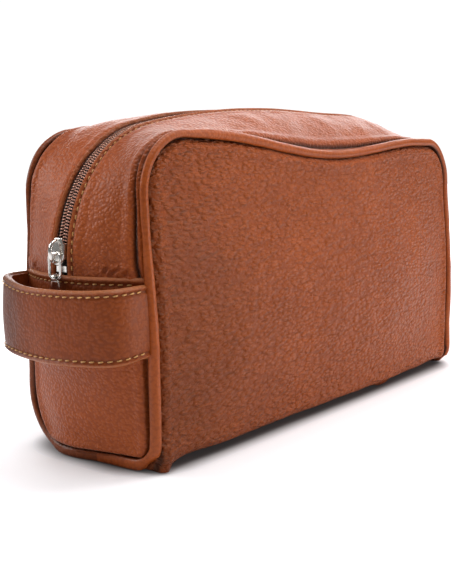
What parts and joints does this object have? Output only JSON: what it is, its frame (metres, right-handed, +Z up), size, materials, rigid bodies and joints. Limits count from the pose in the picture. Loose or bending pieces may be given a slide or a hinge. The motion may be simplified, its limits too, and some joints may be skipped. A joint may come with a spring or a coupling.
{
  "type": "toiletry bag",
  "caption": "Boxy leather shaving kit bag with piped seams, a zip over its domed top and a loop handle on one end.",
  "frame": {"origin": "on the floor under the middle of the bag, half way between its end seams and between its side seams", "axes": "+X along the bag away from the handle, +Y from the front panel to the back panel, +Z up"},
  "size_m": [0.3032, 0.08, 0.151],
  "materials": {
    "cognac_leather": "pebbled, satin",
    "piping_leather": "smooth, satin",
    "lining_cloth": "plain woven",
    "zip_tape": "woven tape",
    "zip_coil": "nylon coil",
    "nickel": "polished nickel plate",
    "thread": "waxed thread",
    "cord": "cotton cord",
    "board": "pressed fibre board"
  },
  "bodies": {
    "bag": {"back_panel": "cognac_leather", "base_board": "board", "base_panel": "cognac_leather", "end_panel_left": "cognac_leather", "end_panel_right": "cognac_leather", "front_panel": "cognac_leather", "handle_patch": "cognac_leather", "handle_strap": "cognac_leather", "handle_strap_lining": "piping_leather", "lining_back": "lining_cloth", "lining_base": "lining_cloth", "lining_end_left": "lining_cloth", "lining_end_right": "lining_cloth", "lining_front": "lining_cloth", "patch_thread": "thread", "piping_back": "piping_leather", "piping_cord_back": "cord", "piping_cord_front": "cord", "piping_front": "piping_leather", "slip_pocket": "lining_cloth", "strap_thread_bottom": "thread", "strap_thread_top": "thread", "zip_bottom_stop": "nickel", "zip_end_tab": "cognac_leather", "zip_top_stop_back": "nickel", "zip_top_stop_front": "nickel"},
    "front_flap": {"gusset_front": "cognac_leather", "zip_tape_front": "zip_tape", "zip_coil_front": "zip_coil", "zip_thread_front": "thread", "lining_gusset_front": "lining_cloth"},
    "back_flap": {"gusset_back": "cognac_leather", "zip_tape_back": "zip_tape", "zip_coil_back": "zip_coil", "zip_thread_back": "thread", "lining_gusset_back": "lining_cloth"},
    "slider": {"slider_body": "nickel", "slider_bridge": "nickel"},
    "ring": {"pull_ring": "nickel"},
    "tab": {"pull_tab": "nickel"}
  },
  "joints": [
    {"name": "mouth_front", "type": "hinge", "parent": "bag", "child": "front_flap", "pos_m": [0, -0.035, 0.132], "axis": [1, 0, 0], "range_deg": [0, 50], "stiffness_Nm_per_rad": 0.12, "deforming": ["gusset_front", "zip_tape_front", "zip_coil_front", "zip_thread_front", "lining_gusset_front"]},
    {"name": "mouth_back", "type": "hinge", "parent": "bag", "child": "back_flap", "pos_m": [0, 0.035, 0.132], "axis": [-1, 0, 0], "range_deg": [0, 50], "stiffness_Nm_per_rad": 0.12, "deforming": ["gusset_back", "zip_tape_back", "zip_coil_back", "zip_thread_back", "lining_gusset_back"]},
    {"name": "slider_travel", "type": "hinge", "parent": "bag", "child": "slider", "pos_m": [-0.0861, 0, 0.0841], "axis": [0, 1, 0], "range_deg": [0, 73], "deforming": ["zip_coil_front", "zip_coil_back"]},
    {"name": "ring_swing", "type": "hinge", "parent": "slider", "child": "ring", "pos_m": [-0.14691, 0, 0.0883], "axis": [0, 1, 0], "range_deg": [0, 8]},
    {"name": "tab_swing", "type": "hinge", "parent": "ring", "child": "tab", "pos_m": [-0.14691, 0, 0.0785], "axis": [0, 1, 0], "range_deg": [-4, 10]}
  ]
}
